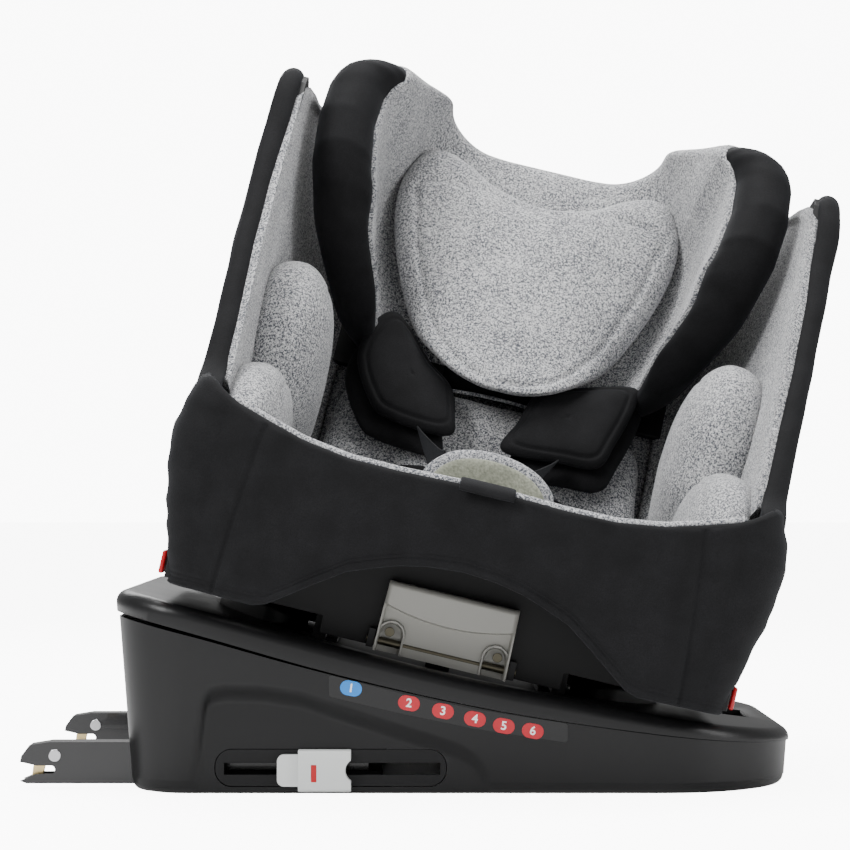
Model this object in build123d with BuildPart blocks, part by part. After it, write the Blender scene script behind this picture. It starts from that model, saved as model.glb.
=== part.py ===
"""Swivelling convertible child car seat on a base with two latch arms for the vehicle's anchor bars.

Millimetres, +Z up, origin at the centre of the base's underside. The base's length runs along X: the latch
arms point to -X (the vehicle's backrest) and the nose to +X. At rest the seat is turned a quarter turn, so
that the child's place faces -Y, as it stands for lifting a child in through the door.
"""

import os
from math import cos, radians, sin, tan

from build123d import *

os.makedirs("parts", exist_ok=True)

# ---------------------------------------------------------------- driving dimensions
BASE_REAR_X = -247.0          # rear wall of the base at the floor
BASE_NOSE_X = 242.0           # nose of the base at the floor
BASE_HALF_WIDTH = 190.0       # at the floor
BASE_DRAFT = 4.5              # the walls lean out by this many degrees
REAR_CORNER_R = 42.0
NOSE_CORNER_R = 96.0
MAT_THICK = 1.0
WALL = 4.0
RIM_OVERHANG = 1.6
RIM_ROUND = 9.0
SEAM = [(-262, 134), (-195, 117), (-121, 95.5), (-48, 77), (25, 61.5), (98, 50), (171, 41), (262, 33)]
RIM = [(-262, 152), (-195, 135.5), (-121, 116), (-48, 97), (25, 80), (98, 66), (171, 53), (262, 42)]

SWIVEL_TILT = 13.5            # the swivel axis leans towards the nose
SWIVEL_X, SWIVEL_Z = -20.3, 91.5
DISH_R, DISH_FLOOR, DISH_PLATE = 181.0, -9.0, 4.0
TURNTABLE_R, TURNTABLE_TOP = 151.4, -4.0
SPINDLE_R, BEARING_R = 29.95, 30.0

RECLINE_Y, RECLINE_N = -20.0, 330.0   # the seat slides on arcs about this line
SHELL_ARC_R = 309.0
RAIL_IN, RAIL_OUT, RAIL_HALF = 316.0, 322.0, 12.0
RAIL_GAUGE = 92.0

BACK_ANGLE = 32.0             # the backrest against the swivel axis
BIGHT_Y, BIGHT_N = 40.0, 100.0        # where the back cushion meets the seat cushion
SIDE_IN, SIDE_OUT = 204.0, 209.0      # side plates of the bucket

ARM_Y, ARM_WIDTH = 140.0, 24.0        # the latch arms stand 280 apart
ARM_LOW, ARM_HIGH = 4.6, 35.4
ARM_TIP_X, ARM_END_X = -331.0, -72.0
ARM_PLATE = 2.5
ANCHOR_R = 3.1                # the slot seats a 6 mm anchor bar
ANCHOR_X, ANCHOR_Z = -308.0, 14.8
HOOK_X, HOOK_Z, RIVET_R = -305.0, 25.4, 3.0
TRACK_Y = -187.0              # flat floor of the recess in each side wall

# ---------------------------------------------------------------- frames
t = radians(SWIVEL_TILT)
seat_plane = Plane(origin=(SWIVEL_X, 0, SWIVEL_Z), x_dir=(cos(t), 0, -sin(t)), z_dir=(sin(t), 0, cos(t)))
SEAT = seat_plane.location    # x to the child's left, y towards the backrest, z along the swivel axis
b = radians(BACK_ANGLE)
back_plane = Plane(origin=(0, BIGHT_Y, BIGHT_N), x_dir=(1, 0, 0), z_dir=(0, sin(b), cos(b)))
BACK = SEAT * back_plane.location     # x as above, y into the backrest, z up along it
HERE = Location()


def at_back(depth, height):
    """Seat-frame (y, z) of a point `depth` in front of the back cushion and `height` up along it."""
    return (
        BIGHT_Y + height * sin(b) - depth * cos(b),
        BIGHT_N + height * cos(b) + depth * sin(b),
    )


def on_arc(radius, angle):
    """Seat-frame (y, z) on a circle about the recline line, `angle` degrees from straight below."""
    return RECLINE_Y + radius * sin(radians(angle)), RECLINE_N - radius * cos(radians(angle))


def save(piece, name, place=HERE):
    placed = place * piece
    placed.label = name
    export_step(placed, f"parts/{name}.step")


def save_pair(piece, name, place=HERE, about=Plane.YZ):
    """A piece, made on the negative side of its frame, and its mirror image."""
    save(piece, f"{name}_right", place)
    save(mirror(piece, about=about), f"{name}_left", place)


def save_both(piece, name, place=HERE, about=Plane.YZ):
    """A piece and its mirror image, kept together."""
    save(Compound([piece, mirror(piece, about=about)]), name, place)


def side_slab(points, x0, x1, rounding=0):
    """A side-view outline of (y, z) points, extruded from x0 to x1."""
    with BuildPart() as piece:
        with BuildSketch(Plane.YZ.offset(x0)):
            with BuildLine():
                Polyline(*points, close=True)
            make_face()
            if rounding:
                fillet(vertices(), radius=rounding)
        extrude(amount=x1 - x0)
    return piece.part


def front_slab(points, y0, y1, rounding=0):
    """A front-view outline of (x, z) points, extruded from y0 to y1."""
    with BuildPart() as piece:
        with BuildSketch(Plane.XZ.offset(-y0)):
            with BuildLine():
                Polyline(*points, close=True)
            make_face()
            if rounding:
                fillet(vertices(), radius=rounding)
        extrude(amount=y0 - y1)
    return piece.part


def block(x0, x1, y0, y1, z0, z1):
    with BuildPart() as piece:
        with Locations(((x0 + x1) / 2, (y0 + y1) / 2, (z0 + z1) / 2)):
            Box(x1 - x0, y1 - y0, z1 - z0)
    return piece.part


def post(x, y, z0, z1, radius):
    with BuildPart() as piece:
        with Locations((x, y, (z0 + z1) / 2)):
            Cylinder(radius, z1 - z0)
    return piece.part


def cross_pin(x, z, y0, y1, radius):
    """A round bar along Y."""
    with BuildPart() as piece:
        with Locations((x, (y0 + y1) / 2, z)):
            Cylinder(radius, y1 - y0, rotation=(90, 0, 0))
    return piece.part


def ring(z0, z1, outer, inner):
    with BuildPart() as piece:
        with Locations((0, 0, (z0 + z1) / 2)):
            Cylinder(outer, z1 - z0)
            Cylinder(inner, z1 - z0, mode=Mode.SUBTRACT)
    return piece.part


# ================================================================ base
def base_plan(grow=0.0):
    with BuildSketch() as plan:
        with BuildLine():
            x0, x1, y = BASE_REAR_X - grow, BASE_NOSE_X + grow, BASE_HALF_WIDTH + grow
            corners = [(x0, -y), (x1, -y), (x1, y), (x0, y)]
            radii = [REAR_CORNER_R + grow, NOSE_CORNER_R + grow, NOSE_CORNER_R + grow, REAR_CORNER_R + grow]
            FilletPolyline(*corners, radius=radii, close=True)
        make_face()
    return plan.sketch


def curve_region(points, shift=0.0, above=True):
    """A full-width solid above (or below) a curve of (x, z) points."""
    with BuildPart() as region:
        with BuildSketch(Plane.XZ.offset(260)):
            with BuildLine():
                path = Spline(*[(x, z + shift) for x, z in points])
                far = 420 if above else -80
                Polyline(path @ 1, (points[-1][0], far), (points[0][0], far), path @ 0)
            make_face()
        extrude(amount=-520)
    return region.part


def tapered_plan(grow, low=MAT_THICK, height=170.0):
    with BuildPart() as body:
        with BuildSketch(Plane.XY.offset(low)):
            add(base_plan(grow + (low - MAT_THICK) * tan(radians(BASE_DRAFT))))
        extrude(amount=height, taper=-BASE_DRAFT)
    return body.part


TRACK_X0, TRACK_X1, TRACK_LOW, TRACK_HIGH = -184.0, -14.0, 5.5, 33.5
SLOT_X0, SLOT_X1, SLOT_LOW, SLOT_HIGH = -177.0, -19.0, 14.5, 23.0
RELIEF = [(-203, -30), (-199, 54), (-186, 75), (-140, 74), (-20, 39), (4, 27), (18, -30)]
RELIEF_R = [0.5, 20, 22, 60, 20, 20, 0.5]

with BuildPart() as relief:             # cutter for the soft recess in each side wall
    with BuildSketch(Plane.XZ.offset(-TRACK_Y)):
        with BuildLine():
            FilletPolyline(*RELIEF, radius=RELIEF_R, close=True)
        make_face()
    extrude(amount=22, taper=-40)
with BuildPart() as track_field:
    with BuildSketch(Plane.XZ.offset(-TRACK_Y)):
        with Locations(((TRACK_X0 + TRACK_X1) / 2, (TRACK_LOW + TRACK_HIGH) / 2)):
            RectangleRounded(TRACK_X1 - TRACK_X0, TRACK_HIGH - TRACK_LOW, 13)
    extrude(amount=-2)
track_slot = block(SLOT_X0, SLOT_X1, TRACK_Y - 2, TRACK_Y + 15, SLOT_LOW, SLOT_HIGH)
wall_pad = block(-196, -4, TRACK_Y, TRACK_Y + 8, MAT_THICK + 2, 40)

housing = tapered_plan(0)
housing = fillet(housing.faces().sort_by(Axis.Z)[0].edges(), radius=7)
housing = housing - tapered_plan(-WALL, low=MAT_THICK + 2.4)
for near in (True, False):
    put = (lambda shape: shape) if near else (lambda shape: mirror(shape, about=Plane.XZ))
    housing = housing + put(wall_pad)
    housing = housing - put(relief.part)
    housing = housing - put(track_field.part)
    housing = housing - put(track_slot)
    y = -ARM_Y if near else ARM_Y
    housing = housing - block(-270, -222, y - 15, y + 15, MAT_THICK + 2.4, 39)
housing = housing - curve_region(SEAM, -0.8)
save(housing, "base_housing")

outside = tapered_plan(RIM_OVERHANG) - curve_region(RIM)
roof_edges = outside.faces().filter_by(lambda face: face.normal_at().Z > 0.6).edges()
outside = fillet(roof_edges, radius=RIM_ROUND)
inside = tapered_plan(RIM_OVERHANG - WALL) - curve_region(RIM, -WALL)
bowl = SEAT * ring(DISH_FLOOR - DISH_PLATE, 60, DISH_R + 4, 1)
cover = outside - inside
cover = cover - curve_region(SEAM, 0, above=False)
cover = cover + (outside & bowl)
cover = cover - SEAT * post(0, 0, DISH_FLOOR, 90, DISH_R)
cover = cover - SEAT * post(0, 0, -40, 90, BEARING_R + 0.8)
nose_slot = block(184, 222, -52, 22, 20, 80)
cover = cover - nose_slot
save(cover, "base_cover")

mat = extrude(base_plan(-12), MAT_THICK)
save(mat, "underside_mat")

with BuildPart() as hub:
    with BuildSketch(seat_plane.offset(DISH_FLOOR - DISH_PLATE)):
        Circle(58)
        Circle(48, mode=Mode.SUBTRACT)
    extrude(amount=-70)
frame_plate = block(-214, 92, -112, 112, 40, 43)
frame = frame_plate - SEAT * post(0, 0, -120, 0, 48)
frame = frame + (hub.part - block(-300, 300, -200, 200, -100, 40))
for x in (-190, 70):
    for y in (-90, 90):
        frame = frame + post(x, y, MAT_THICK + 2.4, 40, 9)
save(frame, "base_frame")
save(ring(-30, DISH_FLOOR - DISH_PLATE, 47.9, BEARING_R), "bearing_ring", SEAT)

guide = block(-240, -62, -ARM_Y - 14.8, -ARM_Y + 14.8, MAT_THICK + 2.4, 38.4)
guide = guide - block(-250, -50, -ARM_Y - 12.6, -ARM_Y + 12.6, 0, 36)
guide = guide - block(SLOT_X0, SLOT_X1, -ARM_Y - 20, -ARM_Y - 10, SLOT_LOW, SLOT_HIGH)
save_both(guide, "latch_guides", about=Plane.XZ)

with BuildPart() as track_plate:
    with BuildSketch(Plane.XZ.offset(-TRACK_Y - 0.3)):
        with Locations(((TRACK_X0 + TRACK_X1) / 2, (TRACK_LOW + TRACK_HIGH) / 2)):
            RectangleRounded(TRACK_X1 - TRACK_X0 - 1, TRACK_HIGH - TRACK_LOW - 1, 12.5)
    extrude(amount=-1.7)
track = track_plate.part - block(SLOT_X0, SLOT_X1, TRACK_Y - 3, TRACK_Y + 9, SLOT_LOW, SLOT_HIGH)
save_both(track, "slider_tracks", about=Plane.XZ)

# the position strip and its numbered discs lie on the leaning side wall
wall_lean = radians(BASE_DRAFT)
wall_plane = Plane(
    origin=(0, -BASE_HALF_WIDTH + MAT_THICK * tan(wall_lean), 0),
    x_dir=(1, 0, 0),
    z_dir=(0, -cos(wall_lean), -sin(wall_lean)),
)
LABELS = [(-41.7, 67.6), (-16.9, 61.8), (6.4, 56.0), (27.5, 50.9), (48.6, 47.2)]
BLUE = (-83.9, 78.5)
STRIP = [(-100, 88.5), (-50, 75.5), (5, 63.5), (74, 52.5), (74, 38.5), (5, 49), (-50, 60.5), (-100, 72.5)]
with BuildPart() as strip:
    with BuildSketch(wall_plane):
        with BuildLine():
            Polyline(*STRIP, close=True)
        make_face()
        fillet(vertices(), radius=2)
    extrude(amount=0.3)
save(strip.part, "indicator_strip")
for name, centres in (("label_blue", [BLUE]), ("labels_red", LABELS)):
    with BuildPart() as pills:
        with BuildSketch(wall_plane.offset(0.3)):
            for x, z in centres:
                with Locations(Location((x, z), -11)):
                    SlotOverall(16, 11)
        extrude(amount=0.3)
    save(pills.part, name)

# ================================================================ latch arms (drawn on the near side)
ARM = [
    (ARM_END_X, ARM_LOW), (-326, ARM_LOW), (ARM_TIP_X, 6.6), (-319, ANCHOR_Z - ANCHOR_R),
    (-319, ANCHOR_Z + ANCHOR_R), (ARM_TIP_X, 20.6), (-330, 25), (-324, 33),
    (-309, ARM_HIGH), (ARM_END_X, ARM_HIGH),
]
near_face = -ARM_Y - ARM_WIDTH / 2
far_face = -ARM_Y + ARM_WIDTH / 2
arm = front_slab(ARM, near_face, far_face)
arm = arm - block(-400, 0, near_face + ARM_PLATE, far_face - ARM_PLATE, 0, ARM_HIGH - ARM_PLATE)
arm = arm - block(-320, ANCHOR_X, near_face - 1, far_face + 1, ANCHOR_Z - ANCHOR_R, ANCHOR_Z + ANCHOR_R)
arm = arm - cross_pin(ANCHOR_X, ANCHOR_Z, near_face - 1, far_face + 1, ANCHOR_R)
for x, z in ((HOOK_X, HOOK_Z), (-90, 12)):
    arm = arm - cross_pin(x, z, near_face - 1, far_face + 1, RIVET_R + 0.05)
save_pair(arm, "latch_arm", about=Plane.XZ)

rivets = cross_pin(HOOK_X, HOOK_Z, near_face - 0.2, far_face + 0.2, RIVET_R)
for x, z in ((HOOK_X, HOOK_Z), (-90, 12)):
    rivets = rivets + cross_pin(x, z, near_face - 0.2, far_face + 0.2, RIVET_R)
rivets = rivets + cross_pin(HOOK_X, HOOK_Z, near_face - 1.4, near_face, 4.6)
rivets = rivets + cross_pin(HOOK_X, HOOK_Z, far_face, far_face + 1.4, 4.6)
save_pair(rivets, "latch_rivets", about=Plane.XZ)

HOOK = [
    (-300, 21.5), (-294, 21.5), (-290, 25.4), (-294, 29.3), (-304, 31.4), (-310.5, 28.8),
    (-316, 25.5), (-322, 17),
    (-323, 9.5), (-319.5, 8.2), (-314.5, 12.2), (-313, 18.6), (-309, 20.4),
]
hook = front_slab(HOOK, -ARM_Y - 3.5, -ARM_Y + 3.5, 1.2)
hook = hook - cross_pin(HOOK_X, HOOK_Z, -ARM_Y - 5, -ARM_Y + 5, RIVET_R + 0.05)
save_pair(hook, "latch_hook", about=Plane.XZ)

# release: a plate carried by the arm, and a sleeve that slides back over it
stem = block(-134, -98, -189, near_face, 15.2, 22.3)
carrier = block(-138, -99, -194, TRACK_Y - 0.7, 6.4, 29.7)
carrier = fillet(carrier.edges().filter_by(Axis.Y).group_by(Axis.X)[0], radius=5)
save_pair(stem + carrier, "release_plate", about=Plane.XZ)
sleeve = block(-122.5, -84, -198, TRACK_Y - 0.6, 3, 33.2)
sleeve = fillet(sleeve.edges().filter_by(Axis.X).group_by(Axis.Y)[0], radius=2)
sleeve = sleeve - block(-123, -90, -194.6, -180, 5.8, 30.3)
sleeve = sleeve - cross_pin(-79, 18.2, -200, -180, 9)
sleeve = sleeve - block(-113, -109, -200, -196.8, 10, 22.5)
save_pair(sleeve, "release_sleeve", about=Plane.XZ)
save_pair(block(-113, -109, -197.6, -196.8, 10, 22.5), "lock_window", about=Plane.XZ)

# ================================================================ turntable
disc = post(0, 0, DISH_FLOOR + 0.4, TURNTABLE_TOP, TURNTABLE_R) - post(0, 0, -20, 20, SPINDLE_R - 6)
save(disc, "turntable_disc", SEAT)
spindle = ring(-31, DISH_FLOOR + 0.4, SPINDLE_R, SPINDLE_R - 6) + ring(-35, -31, 38, SPINDLE_R - 6)
save(spindle, "spindle", SEAT)


def arc_strip(inner, outer, start, end, x0, x1):
    """A curved strip about the recline line, between two angles from straight below."""
    middle = (start + end) / 2
    points = [on_arc(outer, start), on_arc(outer, middle), on_arc(outer, end)]
    back_points = [on_arc(inner, end), on_arc(inner, middle), on_arc(inner, start)]
    with BuildPart() as piece:
        with BuildSketch(Plane.YZ.offset(x0)):
            with BuildLine():
                ThreePointArc(*points)
                Line(points[2], back_points[0])
                ThreePointArc(*back_points)
                Line(back_points[2], points[0])
            make_face()
        extrude(amount=x1 - x0)
    return piece.part


RAIL_START, RAIL_END = -21.0, 20.0
rail = arc_strip(RAIL_IN, RAIL_OUT, RAIL_START, RAIL_END, -RAIL_GAUGE - RAIL_HALF, -RAIL_GAUGE + RAIL_HALF)
front_foot, rear_foot = on_arc(RAIL_OUT, RAIL_START), on_arc(RAIL_OUT, RAIL_END)
web = block(-RAIL_GAUGE - 5, -RAIL_GAUGE + 5, front_foot[0], rear_foot[0] - 2, TURNTABLE_TOP, 40)
web = web & side_slab(
    [(-200, -10)] + [on_arc(RAIL_OUT - 1, angle) for angle in range(-30, 31, 3)] + [(160, -10)], -110, -70
)
foot = block(-RAIL_GAUGE - 14, -RAIL_GAUGE + 14, -118, 66, TURNTABLE_TOP, TURNTABLE_TOP + 4)
save_both(rail + web + foot, "recline_rails", SEAT)

rack = arc_strip(RAIL_IN - 1, RAIL_OUT + 3, -20, 4, -9, 9)
rack = rack + (block(-9, 9, -122, 4, TURNTABLE_TOP, 20) & side_slab(
    [(-200, -10)] + [on_arc(RAIL_OUT, angle) for angle in range(-30, 31, 3)] + [(160, -10)], -20, 20
))
for step in range(6):
    y, z = on_arc(RAIL_IN - 1, -18 + step * 3.6)
    rack = rack - block(-10, 10, y - 3, y + 3, z - 1, z + 4)
save(rack, "position_rack", SEAT)

# ================================================================ seat
UNDER = [(-216, 20.5), (-60, 21.5)] + [on_arc(SHELL_ARC_R, angle) for angle in (-4, 1, 6, 12, 18)]
WING = UNDER + [at_back(-46, -6), at_back(-46, 296), (168, 384), (-30, 419), (-42, 413), (-72, 357),
                (-119, 270), (-178, 172), (-216, 158)]
bucket = side_slab(WING, -SIDE_OUT, -SIDE_IN) + side_slab(WING, SIDE_IN, SIDE_OUT)
PAN_BACK = [(-216, 100.3), (66.6, 65.2), at_back(-41, 300), at_back(-46, 300), (69.2, 59.9), (-216, 95.3)]
bucket = bucket + side_slab(PAN_BACK, -SIDE_OUT, SIDE_OUT)
save(bucket, "bucket_shell", SEAT)

under = arc_strip(SHELL_ARC_R - 5, SHELL_ARC_R, -24, 17, -SIDE_IN, SIDE_IN)
save(under, "under_shell", SEAT)

runner = arc_strip(SHELL_ARC_R + 0.1, RAIL_OUT + 4, -8, 17, -RAIL_GAUGE - 16.5, -RAIL_GAUGE + 16.5)
runner = runner - arc_strip(
    RAIL_IN - 0.4, RAIL_OUT + 0.4, -12, 24, -RAIL_GAUGE - RAIL_HALF - 0.4, -RAIL_GAUGE + RAIL_HALF + 0.4
)
runner = runner - arc_strip(RAIL_OUT, RAIL_OUT + 9, -12, 24, -RAIL_GAUGE - 5.6, -RAIL_GAUGE + 5.6)
save_both(runner, "recline_runners", SEAT)

apron_low = block(-92, 92, -152.5, -148.5, 4, 17)
apron_mid = block(-172, 172, -152.5, -148.5, 17, 54)
apron_top = front_slab([(-172, 54), (172, 54), (156, 85), (-156, 85)], -152.5, -148.5)
apron = apron_low + apron_mid + apron_top
for x0 in (-56, 51):
    apron = apron + block(x0, x0 + 5, -164, -152.5, 3, 17)
PIN_Y, PIN_N = -159.0, 9.0
with BuildPart() as pin_hole:
    with Locations((0, PIN_Y, PIN_N)):
        Cylinder(3.0, 140, rotation=(0, 90, 0))
with BuildPart() as pin:
    with Locations((0, PIN_Y, PIN_N)):
        Cylinder(2.95, 114, rotation=(0, 90, 0))
apron = apron - pin_hole.part
save(apron, "front_apron", SEAT)
save(pin.part, "handle_pin", SEAT)

HANDLE = [(-153.6, 44), (-166, 44), (-168.6, 51), (-167, 53.5), (-156, 54.5), (-153.6, 52)]
handle = side_slab(HANDLE, -50, 50) + block(-49, 49, -165.5, -155, 1.5, 47)
for x in (-41, 41):
    handle = handle - block(x - 7.8, x + 7.8, -170, -162.4, -5, 22)
handle = handle - pin_hole.part
save(handle, "recline_handle", SEAT)
with BuildPart() as screws:
    for x in (-41, 41):
        with Locations((x, -163.0, 17)):
            Cylinder(3.6, 1.2, rotation=(90, 0, 0))
save(screws.part, "handle_screws", SEAT)

ARCH_TOP = [
    (-222, 172), (-206, 165), (-184, 154), (-152, 144), (-116, 138), (-60, 135.5), (0, 136), (60, 135.5),
    (116, 138), (152, 144), (184, 154), (206, 165), (222, 172),
]
ARCH_LOW = [(-140, 17.5), (-122, 28), (-81, 56), (-45, 69), (0, 75), (45, 69), (81, 56), (122, 28),
            (140, 17.5)]
with BuildPart() as front:
    with BuildSketch(Plane.XY.offset(10)):
        with BuildLine():
            inner = ThreePointArc((-222, -226), (0, -252), (222, -226))
            outer = ThreePointArc((-222, -237), (0, -264), (222, -237))
            Line(inner @ 0, outer @ 0)
            Line(inner @ 1, outer @ 1)
        make_face()
    extrude(amount=180)
with BuildPart() as front_outline:
    with BuildSketch(Plane.XZ.offset(200)):
        with BuildLine():
            top = Spline(*ARCH_TOP)
            arch = Spline(*ARCH_LOW)
            Polyline(top @ 0, (-222, 90), (-212, 17.5), arch @ 0)
            Polyline(top @ 1, (222, 90), (212, 17.5), arch @ 1)
        make_face()
    extrude(amount=80)
save(front.part & front_outline.part, "front_cover", SEAT)

with BuildSketch(Plane.YZ) as wing_sketch:
    with BuildLine():
        Polyline(*WING, close=True)
    make_face()
grown = offset(wing_sketch.sketch, 7, kind=Kind.INTERSECTION)
tight = offset(wing_sketch.sketch, 0.3, kind=Kind.INTERSECTION)
front_limit = side_slab([(-223.5, -50), (400, -50), (400, 700), (-223.5, 700)], -240, -190)
floor_limit = side_slab([(-300, 17.5), (400, 17.5), (400, 700), (-300, 700)], -240, -190)
REAR_KEEP = [(-300, 113), (61, 73), at_back(-37.5, -8), at_back(-37.5, 306), (-100, 600), (-400, 600)]
rear_keep = side_slab(REAR_KEEP, -240, -190)
skin_out = Pos(-220, 0, 0) * extrude(grown, 220 - SIDE_OUT - 0.3)
skin_in = Pos(-SIDE_IN + 0.4, 0, 0) * extrude(grown, 4.0)
band = Pos(-SIDE_OUT - 0.3, 0, 0) * extrude(grown, SIDE_OUT + 0.3 - SIDE_IN + 0.4)
band = band - Pos(-SIDE_OUT - 0.3, 0, 0) * extrude(tight, 12)
wing_cover = skin_out + (band & rear_keep) + (skin_in & rear_keep)
wing_cover = wing_cover & front_limit & floor_limit
REAR_CLEAR = [on_arc(312, angle) for angle in range(-3, 40, 3)] + [(200, -50), (-40, -50)]
rear_clear = side_slab(REAR_CLEAR, -240, -190)
wing_cover = wing_cover - rear_clear - block(-230, -209, -202, -168, 0, 42)
save_pair(wing_cover, "wing_cover", SEAT)

SEAT_PAD = [(-215, 101.5), (62, 67), (40, 97), (-205, 130), (-215, 122)]
save(side_slab(SEAT_PAD, -150, 150, 2), "seat_cushion", SEAT)
THIGH = [(-215, 101.5), (40, 70), (30, 172), (-60, 184), (-150, 184), (-215, 160)]
save_both(side_slab(THIGH, -199, -151.5, 6), "thigh_bolsters", SEAT)

# pieces on the backrest: x as the seat, y into the backrest, z up along it
save(block(-138, 138, 0.5, 30, 2, 296), "back_cushion", BACK)
save(block(-SIDE_OUT, SIDE_OUT, 46.3, 50, 4, 290), "back_cover", BACK)
save(block(-125, 125, -39, -0.2, 6, 103), "newborn_insert", BACK)
SIDE_PAD = [(-188, 78), (-120, 60), (28, 60), (28, 117), (-146, 117), (-184, 97)]
save_both(side_slab(SIDE_PAD, -199, -140, 8), "side_bolsters", BACK)

HEAD_SIDE = [
    (-10, 122), (-120, 122), (-160, 138), (-205, 180), (-216, 225), (-215, 265), (-195, 282), (-130, 318),
    (-60, 345), (-10, 345),
]
head_wing = side_slab(HEAD_SIDE, -196, -150)
head_cover = head_wing + mirror(head_wing, about=Plane.YZ) + block(-150, 150, -45, -10, 122, 345)
save(head_cover, "headrest_cover", BACK)
carrier_plate = block(-70, 70, 32, 36, 100, 344) + block(-70, 70, -9.6, 36, 340.2, 344)
save(block(-192, 192, -9.6, -4, 125, 340), "headrest_shell", BACK)
save(carrier_plate, "headrest_carrier", BACK)

HEAD_PAD = [
    (0, 76), (46, 84), (95, 140), (118, 190), (125, 262), (112, 306), (0, 300), (-112, 306), (-125, 262),
    (-118, 190), (-95, 140), (-46, 84),
]
head_pad = front_slab(HEAD_PAD, -92, -45.2, 8) - block(-130, 130, -72, -40, 60, 153)
save(head_pad, "head_cushion", BACK)
CHEST_PAD = [(-116, 84), (-110, 134), (-98, 147), (-40, 86), (-30, 46), (-60, 40), (-94, 46)]
save_pair(front_slab(CHEST_PAD, -70, -45.2, 4), "shoulder_pad", BACK)
save_both(block(-86, -50, -43.2, -41.6, 48, 121), "shoulder_straps", BACK)

# harness and buckle
WEBBING = [(8, 158), (8, 159.6), (-148, 143.1), (-148, 141.5)]
save_both(side_slab(WEBBING, -60, -24), "harness_webbing", SEAT)
with BuildPart() as hip:
    with BuildSketch(Plane.XY.offset(130.2)):
        with BuildLine():
            Polyline((-35, -178), (-35, -152), (-146, -20), (-146, -52), close=True)
        make_face()
    extrude(amount=1.6)
save_both(hip.part, "hip_straps", SEAT)
save_both(block(-44, -16.2, -182, -149, 136, 139), "harness_tongues", SEAT)
buckle = block(-16, 16, -190, -150, 130.2, 152)
buckle = fillet(buckle.edges().filter_by(Axis.Y), radius=4)
buckle = buckle - block(-11, 11, -191, -183, 134, 148)
save(buckle, "buckle", SEAT)
save(block(-10.6, 10.6, -192.5, -186.5, 134.4, 147.6), "buckle_button", SEAT)
save(block(-12, 12, -176, -164, 126.5, 130.2), "crotch_strap", SEAT)
CROTCH = [(-46, 130), (46, 130), (40, 152), (22, 162), (-22, 162), (-40, 152)]
save(front_slab(CROTCH, -210, -198, 4), "crotch_pad", SEAT)
save(block(-15, 21, -262, -224, 137, 139), "adjuster_tab", SEAT)
save_pair(block(-218, -211.8, -200, -170, 20, 40), "swivel_button", SEAT)
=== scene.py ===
"""The look of the swivelling child car seat: its covers, pads, harness, base and studio."""

from math import atan2, cos, exp, hypot, pi, radians, sin, tan

import bmesh
import bpy
from mathutils import Matrix, Vector, noise


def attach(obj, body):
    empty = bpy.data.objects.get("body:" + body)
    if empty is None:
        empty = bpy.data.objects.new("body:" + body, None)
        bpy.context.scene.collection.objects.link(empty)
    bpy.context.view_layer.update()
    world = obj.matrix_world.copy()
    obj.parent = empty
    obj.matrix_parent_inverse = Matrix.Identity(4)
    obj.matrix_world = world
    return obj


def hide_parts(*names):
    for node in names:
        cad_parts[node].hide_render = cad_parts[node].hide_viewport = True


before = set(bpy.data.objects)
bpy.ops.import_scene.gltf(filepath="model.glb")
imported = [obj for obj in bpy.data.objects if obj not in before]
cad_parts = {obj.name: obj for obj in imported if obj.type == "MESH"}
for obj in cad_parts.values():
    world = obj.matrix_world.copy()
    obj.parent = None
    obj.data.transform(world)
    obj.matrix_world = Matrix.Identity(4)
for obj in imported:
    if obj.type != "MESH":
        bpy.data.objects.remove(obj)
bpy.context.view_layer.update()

# ---------------------------------------------------------------- frames, in metres
TILT, BACK = radians(13.5), radians(32)
FOOT = Vector((-0.0203, 0, 0.0915))
SEAT = Matrix((
    (cos(TILT), 0, sin(TILT), FOOT.x),
    (0, 1, 0, 0),
    (-sin(TILT), 0, cos(TILT), FOOT.z),
    (0, 0, 0, 1),
))
BIGHT = Vector((0, 0.040, 0.100))
ON_BACK = SEAT @ Matrix((
    (1, 0, 0, 0),
    (0, -cos(BACK), sin(BACK), BIGHT.y),
    (0, sin(BACK), cos(BACK), BIGHT.z),
    (0, 0, 0, 1),
))    # x to the child's left, y out of the backrest towards the child, z up along the backrest
HERE = Matrix.Identity(4)


# ---------------------------------------------------------------- camera, floor and light
def camera():
    """A long lens low in front of the near side."""
    lens = bpy.data.cameras.new("camera")
    lens.sensor_width = 36
    lens.lens = 128.24
    lens.clip_end = 50
    cam = bpy.data.objects.new("camera", lens)
    cam.location = (-0.030, -2.405, 0.230)
    cam.rotation_euler = (radians(90 + 1.04), 0, 0)
    bpy.context.collection.objects.link(cam)
    bpy.context.scene.camera = cam


def lamp(name, place, aim, size, watts, colour=(1, 1, 1)):
    light = bpy.data.lights.new(name, "AREA")
    light.shape = "RECTANGLE"
    light.size, light.size_y = size
    light.energy = watts
    light.color = colour
    holder = bpy.data.objects.new(name, light)
    holder.location = place
    holder.rotation_euler = (Vector(aim) - Vector(place)).to_track_quat("-Z", "Y").to_euler()
    bpy.context.collection.objects.link(holder)


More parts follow.
